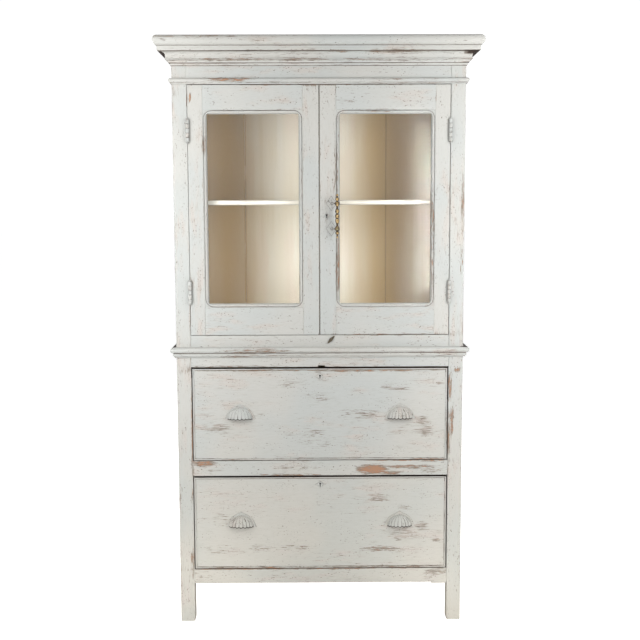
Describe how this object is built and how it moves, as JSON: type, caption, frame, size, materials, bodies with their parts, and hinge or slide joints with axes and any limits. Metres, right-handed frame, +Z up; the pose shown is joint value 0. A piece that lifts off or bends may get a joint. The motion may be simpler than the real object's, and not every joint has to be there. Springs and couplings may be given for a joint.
{
  "type": "armoire",
  "caption": "Free-standing painted wooden armoire: glazed doors over a shelved cupboard, deep drawers with shell cup pulls, moulded cornice and waist, straight square legs.",
  "frame": {"origin": "centre of the bounding box's footprint, on the floor under the legs", "axes": "+Z up along the height; the doors and drawers face -Y; +X is to the right of someone looking at the front"},
  "size_m": [1.11, 0.505, 2.048],
  "materials": {
    "distressed_paint": "chalky grey-white paint worn through to reddish brown wood at edges and along the grain",
    "cream_paint": "flat cream paint over upright boards",
    "bare_pine": "unpainted aged pine",
    "clear_glass": "clear, flat, thin window glass",
    "painted_iron": "cast and wrought iron painted over with the same chalky paint, worn on the high spots",
    "aged_brass": "turned brass, dulled and brown in the hollows",
    "dark_iron": "dark brown-black, slightly rough"
  },
  "bodies": {
    "carcass": {"front_post_left": "distressed_paint", "front_post_right": "distressed_paint", "rear_post_left": "distressed_paint", "rear_post_right": "distressed_paint", "side_panel_left": "distressed_paint", "side_panel_right": "distressed_paint", "frieze_rail": "distressed_paint", "waist_rail": "distressed_paint", "middle_rail": "distressed_paint", "bottom_rail": "distressed_paint", "back_board_1": "cream_paint", "back_board_2": "cream_paint", "back_board_3": "cream_paint", "back_board_4": "cream_paint", "cornice": "distressed_paint", "top_board": "bare_pine", "frieze_bead": "distressed_paint", "waist_moulding": "distressed_paint", "cupboard_floor": "cream_paint", "shelf": "cream_paint", "runner_frame_left": "bare_pine", "runner_frame_right": "bare_pine", "left_upper_hinge_post_leaf": "painted_iron", "left_lower_hinge_post_leaf": "painted_iron", "right_upper_hinge_post_leaf": "painted_iron", "right_lower_hinge_post_leaf": "painted_iron", "turn_button_screw": "dark_iron"},
    "left_door": {"left_door_meeting_stile": "distressed_paint", "left_door_hinge_stile": "distressed_paint", "left_door_bottom_rail": "distressed_paint", "left_door_top_rail": "distressed_paint", "left_door_glass": "clear_glass", "left_upper_hinge_door_leaf": "painted_iron", "left_lower_hinge_door_leaf": "painted_iron"},
    "right_door": {"right_door_meeting_stile": "distressed_paint", "right_door_hinge_stile": "distressed_paint", "right_door_bottom_rail": "distressed_paint", "right_door_top_rail": "distressed_paint", "right_door_glass": "clear_glass", "right_upper_hinge_door_leaf": "painted_iron", "right_lower_hinge_door_leaf": "painted_iron", "door_lock": "painted_iron", "door_pull": "aged_brass"},
    "upper_drawer": {"upper_drawer_front": "distressed_paint", "upper_drawer_side_left": "bare_pine", "upper_drawer_side_right": "bare_pine", "upper_drawer_back": "bare_pine", "upper_drawer_bottom": "bare_pine", "upper_drawer_lock": "painted_iron", "upper_drawer_pull_left": "painted_iron", "upper_drawer_pull_right": "painted_iron"},
    "lower_drawer": {"lower_drawer_front": "distressed_paint", "lower_drawer_side_left": "bare_pine", "lower_drawer_side_right": "bare_pine", "lower_drawer_back": "bare_pine", "lower_drawer_bottom": "bare_pine", "lower_drawer_lock": "painted_iron", "lower_drawer_pull_left": "painted_iron", "lower_drawer_pull_right": "painted_iron"},
    "turn_button": {"turn_button": "dark_iron"}
  },
  "joints": [
    {"name": "left_door_hinge", "type": "hinge", "parent": "carcass", "child": "left_door", "pos_m": [-0.44825, -0.2043, 1.0335], "axis": [0, 0, -1], "range_deg": [0, 165]},
    {"name": "right_door_hinge", "type": "hinge", "parent": "carcass", "child": "right_door", "pos_m": [0.44825, -0.2043, 1.0335], "axis": [0, 0, 1], "range_deg": [0, 165]},
    {"name": "upper_drawer_slide", "type": "slide", "parent": "carcass", "child": "upper_drawer", "axis": [0, -1, 0], "range_m": [0, 0.32]},
    {"name": "lower_drawer_slide", "type": "slide", "parent": "carcass", "child": "lower_drawer", "axis": [0, -1, 0], "range_m": [0, 0.32]},
    {"name": "turn_button_pivot", "type": "hinge", "parent": "carcass", "child": "turn_button", "pos_m": [0.0389, -0.1975, 1.0165], "axis": [0, -1, 0], "range_deg": [-90, 90]}
  ]
}
